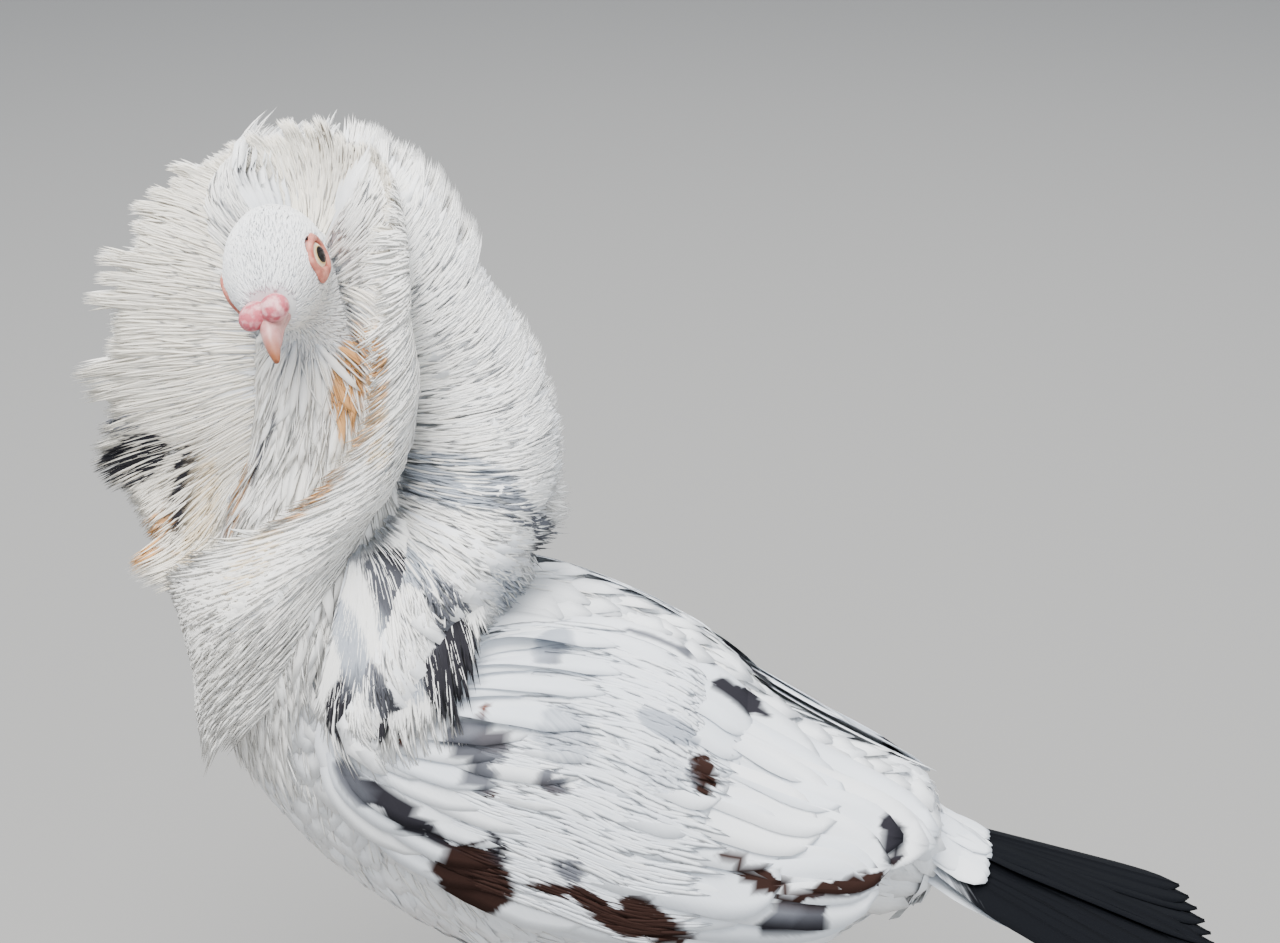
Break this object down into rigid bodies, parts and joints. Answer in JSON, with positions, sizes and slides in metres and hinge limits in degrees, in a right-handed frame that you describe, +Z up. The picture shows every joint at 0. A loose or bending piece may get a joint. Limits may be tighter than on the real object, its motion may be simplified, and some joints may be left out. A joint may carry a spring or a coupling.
{
  "type": "jacobin pigeon",
  "caption": "Standing pigeon looking over its left shoulder, with a hood, chain and mane of long feathers round the head, folded wings and tail.",
  "frame": {"origin": "on the floor, in the middle of the bird's box seen from above", "axes": "+Z up, the breast towards -Y, the bird's own left towards +X, the tail towards +Y"},
  "size_m": [0.1052, 0.2706, 0.2762],
  "materials": {
    "plumage": "soft white plumage",
    "ruff_feathers": "long loose white feathers with cream and grey tips",
    "flight_feathers": "smooth white feathers splashed with black and brown",
    "eye": "wet gloss, pearl iris round a black pupil",
    "bill": "smooth pink horn",
    "cere": "powdery pink skin",
    "leg": "scaled red skin under white thigh feathers",
    "claw": "smooth dark horn"
  },
  "bodies": {
    "root": {"torso": "plumage", "neck": "plumage", "head": "plumage", "hood": "ruff_feathers", "chain_left": "ruff_feathers", "chain_right": "ruff_feathers", "mane": "ruff_feathers", "wing_left": "flight_feathers", "wing_right": "flight_feathers", "tail": "flight_feathers", "eye_left": "eye", "eye_right": "eye", "bill_upper": "bill", "bill_lower": "bill", "cere": "cere", "leg_left": "leg", "leg_right": "leg", "claw_left_1": "claw", "claw_left_2": "claw", "claw_left_3": "claw", "claw_left_4": "claw", "claw_right_1": "claw", "claw_right_2": "claw", "claw_right_3": "claw", "claw_right_4": "claw"}
  },
  "joints": []
}
